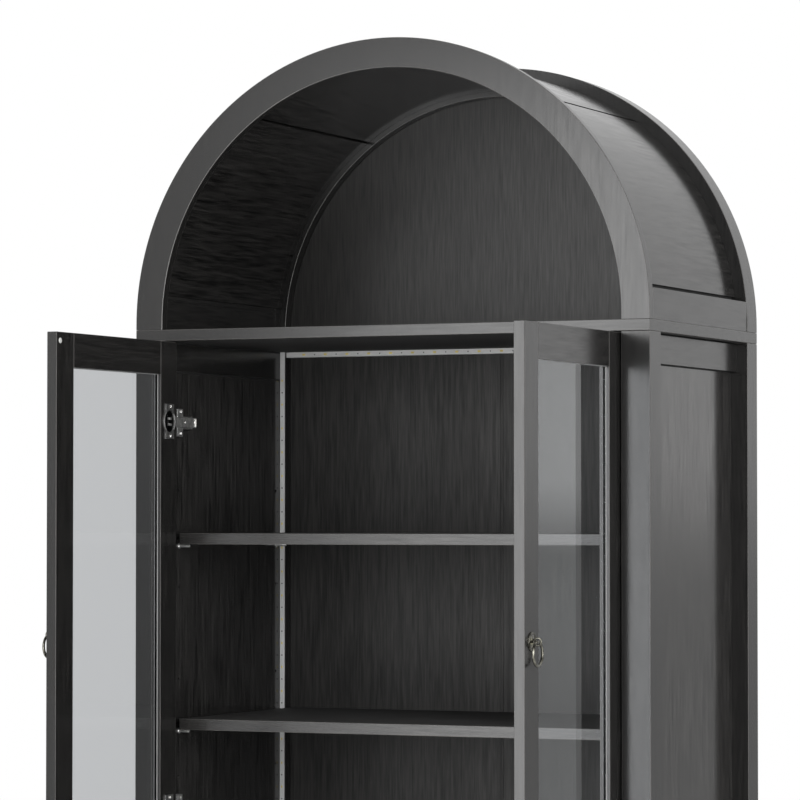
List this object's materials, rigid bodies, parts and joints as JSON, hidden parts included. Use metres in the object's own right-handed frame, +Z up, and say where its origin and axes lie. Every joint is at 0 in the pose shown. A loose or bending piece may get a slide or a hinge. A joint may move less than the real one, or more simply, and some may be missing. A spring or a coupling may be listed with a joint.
{
  "type": "arched curio cabinet",
  "caption": "Tall black oak curio cabinet with an open arched niche on top and two glazed doors, shown open, over lit display shelves.",
  "frame": {"origin": "on the floor, at the middle of the area that the cabinet and its open doors cover", "axes": "+X to the right as seen from the front, +Y from the front towards the back, +Z up"},
  "size_m": [0.8, 0.791, 1.85],
  "materials": {
    "black_oak": "black oak-grain laminate, semi-matt",
    "back_board": "black oak-grain laminate on thin board",
    "door_glass": "clear flat glass",
    "plated_steel": "nickel-plated pressed steel",
    "aged_bronze": "dark aged bronze with rubbed highlights",
    "led_strip": "white flexible strip with light chips",
    "black_plastic": "moulded black plastic"
  },
  "bodies": {
    "cabinet": {"front_arch_ring": "black_oak", "rear_arch_ring": "black_oak", "arch_skin_left": "black_oak", "arch_skin_top": "black_oak", "arch_skin_right": "black_oak", "arch_base_rail_left": "black_oak", "arch_base_rail_right": "black_oak", "arch_back_panel": "black_oak", "mid_board": "black_oak", "bottom_board": "black_oak", "toe_rail": "black_oak", "front_left_post": "black_oak", "rear_left_post": "black_oak", "side_top_rail_left": "black_oak", "side_bottom_rail_left": "black_oak", "side_panel_left": "black_oak", "back_panel_left": "back_board", "front_right_post": "black_oak", "rear_right_post": "black_oak", "side_top_rail_right": "black_oak", "side_bottom_rail_right": "black_oak", "side_panel_right": "black_oak", "back_panel_right": "back_board", "back_joint_strip": "back_board", "shelf_1": "black_oak", "shelf_2": "black_oak", "shelf_3": "black_oak", "shelf_4": "black_oak", "led_strip_top": "led_strip", "led_strip_left": "led_strip", "led_strip_right": "led_strip", "led_power_box": "black_plastic", "wall_anchor_bracket": "plated_steel", "left_hinge_arm_top": "plated_steel", "left_hinge_arm_middle": "plated_steel", "left_hinge_arm_bottom": "plated_steel", "right_hinge_arm_top": "plated_steel", "right_hinge_arm_middle": "plated_steel", "right_hinge_arm_bottom": "plated_steel"},
    "left_door": {"left_door_hinge_stile": "black_oak", "left_door_lock_stile": "black_oak", "left_door_top_rail": "black_oak", "left_door_bottom_rail": "black_oak", "left_door_glass": "door_glass", "left_hinge_cup_top": "plated_steel", "left_hinge_cup_middle": "plated_steel", "left_hinge_cup_bottom": "plated_steel", "left_pull_mount": "aged_bronze"},
    "right_door": {"right_door_hinge_stile": "black_oak", "right_door_lock_stile": "black_oak", "right_door_top_rail": "black_oak", "right_door_bottom_rail": "black_oak", "right_door_glass": "door_glass", "right_hinge_cup_top": "plated_steel", "right_hinge_cup_middle": "plated_steel", "right_hinge_cup_bottom": "plated_steel", "right_pull_mount": "aged_bronze"},
    "left_ring": {"left_pull_ring": "aged_bronze"},
    "right_ring": {"right_pull_ring": "aged_bronze"}
  },
  "joints": [
    {"name": "left_door_hinge", "type": "hinge", "parent": "cabinet", "child": "left_door", "pos_m": [-0.34865, -0.04885, 0.742], "axis": [0, 0, -1], "range_deg": [-90, 15]},
    {"name": "left_ring_swing", "type": "hinge", "parent": "left_door", "child": "left_ring", "pos_m": [-0.363, -0.3715, 1.007], "axis": [0, 1, 0], "range_deg": [0, 95]},
    {"name": "right_door_hinge", "type": "hinge", "parent": "cabinet", "child": "right_door", "pos_m": [0.34865, -0.04885, 0.742], "axis": [0, 0, 1], "range_deg": [-90, 15]},
    {"name": "right_ring_swing", "type": "hinge", "parent": "right_door", "child": "right_ring", "pos_m": [0.363, -0.3715, 1.007], "axis": [0, -1, 0], "range_deg": [0, 95]}
  ]
}
